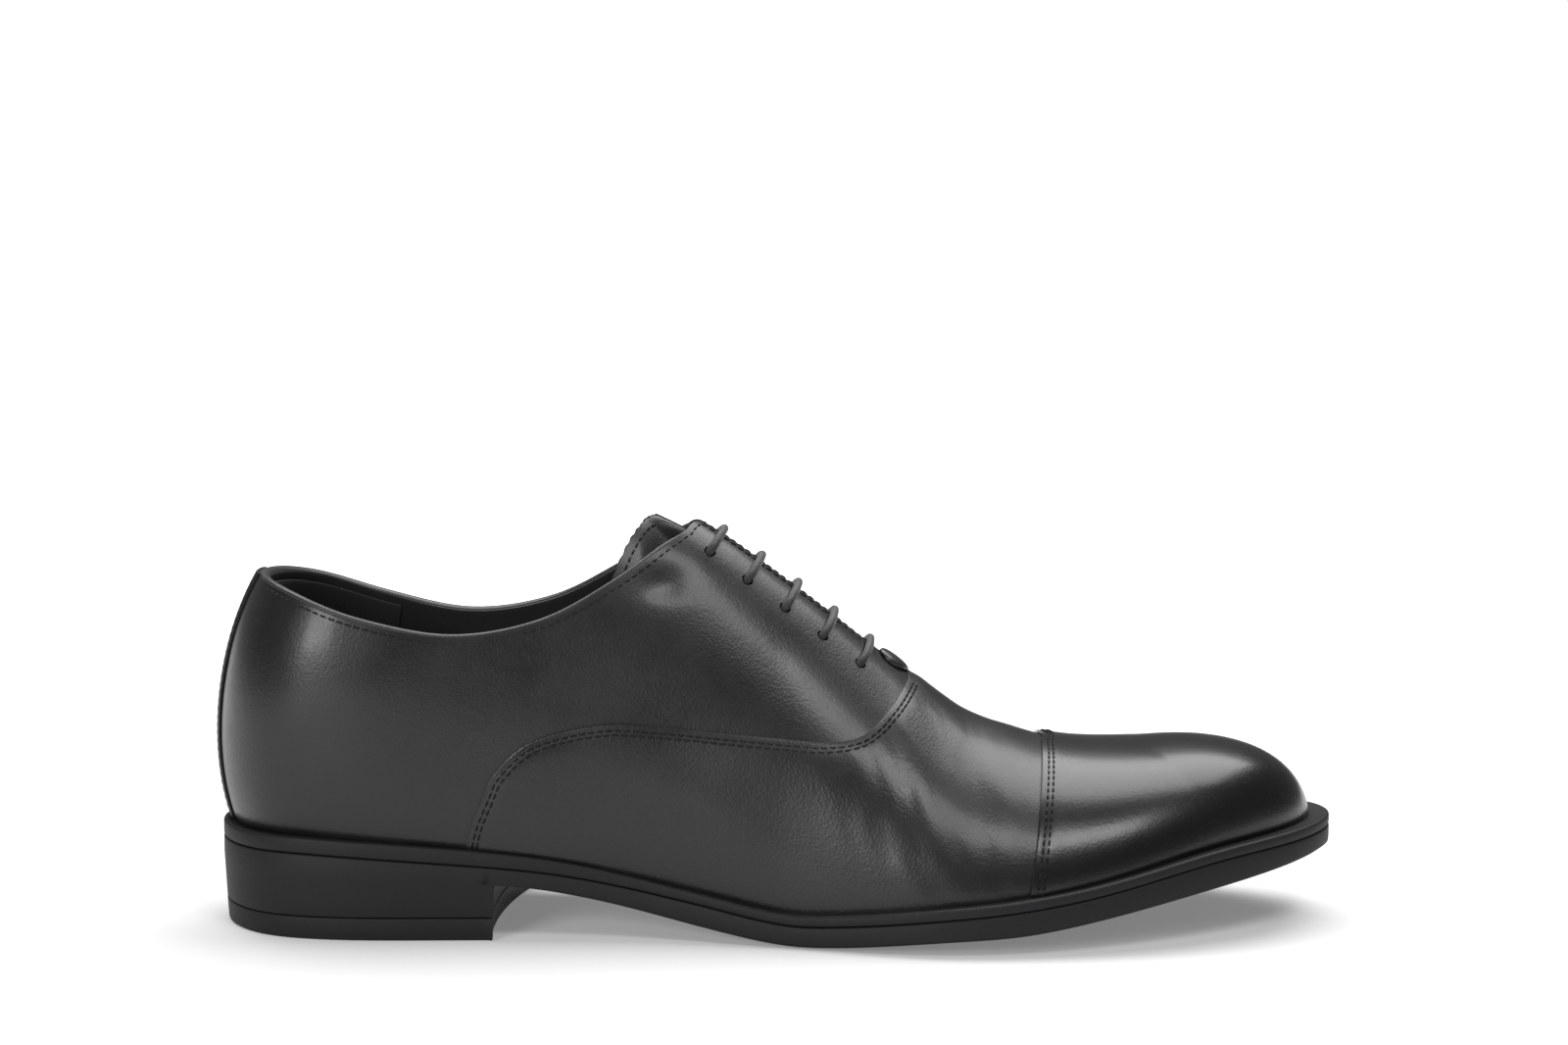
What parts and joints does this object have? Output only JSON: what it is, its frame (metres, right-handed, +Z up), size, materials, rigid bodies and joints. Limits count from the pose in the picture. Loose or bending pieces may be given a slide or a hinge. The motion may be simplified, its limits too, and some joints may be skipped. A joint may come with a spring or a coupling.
{
  "type": "leather oxford shoe",
  "caption": "Right cap-toe oxford dress shoe with closed lacing, a hinged tongue, a welted rubber sole and a stacked heel with a top lift.",
  "frame": {"origin": "middle of the shoe's box, on the ground that the sole stands on", "axes": "+X towards the toe, +Y towards the medial side (the wearer's left on this right shoe), +Z up"},
  "size_m": [0.3056, 0.1004, 0.1079],
  "materials": {
    "calf": "polished box calf, near black, semi-gloss, fine grain",
    "binding": "turned edge of thin black calf, satin",
    "lining": "smooth black lining leather, dull",
    "suede": "black suede, napped",
    "rubber": "black moulded rubber, matt on the walls",
    "lace": "round black waxed braid",
    "canvas": "plain cotton canvas",
    "stiffener": "moulded thermoplastic sheet",
    "board": "pressed cellulose board",
    "cork": "granulated cork filler",
    "steel": "plain rolled steel"
  },
  "bodies": {
    "shoe": {"toe_cap": "calf", "vamp": "calf", "quarter_lateral": "calf", "quarter_medial": "calf", "back_strip": "calf", "throat_tab": "calf", "topline_binding": "binding", "vamp_lining": "lining", "quarter_lining_lateral": "lining", "quarter_lining_medial": "lining", "sock_liner": "lining", "heel_grip": "suede", "welt": "rubber", "outsole": "rubber", "heel_block": "rubber", "top_lift": "rubber", "shoelace": "lace", "aglet_1": "lace", "aglet_2": "lace", "vamp_interlining": "canvas", "facing_stay_lateral": "canvas", "facing_stay_medial": "canvas", "toe_puff": "stiffener", "heel_counter": "stiffener", "insole_board": "board", "bottom_filler": "cork", "shank": "steel", "heel_nail_1": "steel", "heel_nail_2": "steel", "heel_nail_3": "steel", "heel_nail_4": "steel", "heel_nail_5": "steel", "eyelet_lateral_1": "steel", "eyelet_lateral_2": "steel", "eyelet_lateral_3": "steel", "eyelet_lateral_4": "steel", "eyelet_lateral_5": "steel", "eyelet_medial_1": "steel", "eyelet_medial_2": "steel", "eyelet_medial_3": "steel", "eyelet_medial_4": "steel", "eyelet_medial_5": "steel"},
    "tongue": {"tongue": "calf", "tongue_lining": "lining"}
  },
  "joints": [
    {"name": "tongue_hinge", "type": "hinge", "parent": "shoe", "child": "tongue", "pos_m": [0.0348, 0.0016, 0.059], "axis": [0, -1, 0], "range_deg": [0, 14]}
  ]
}
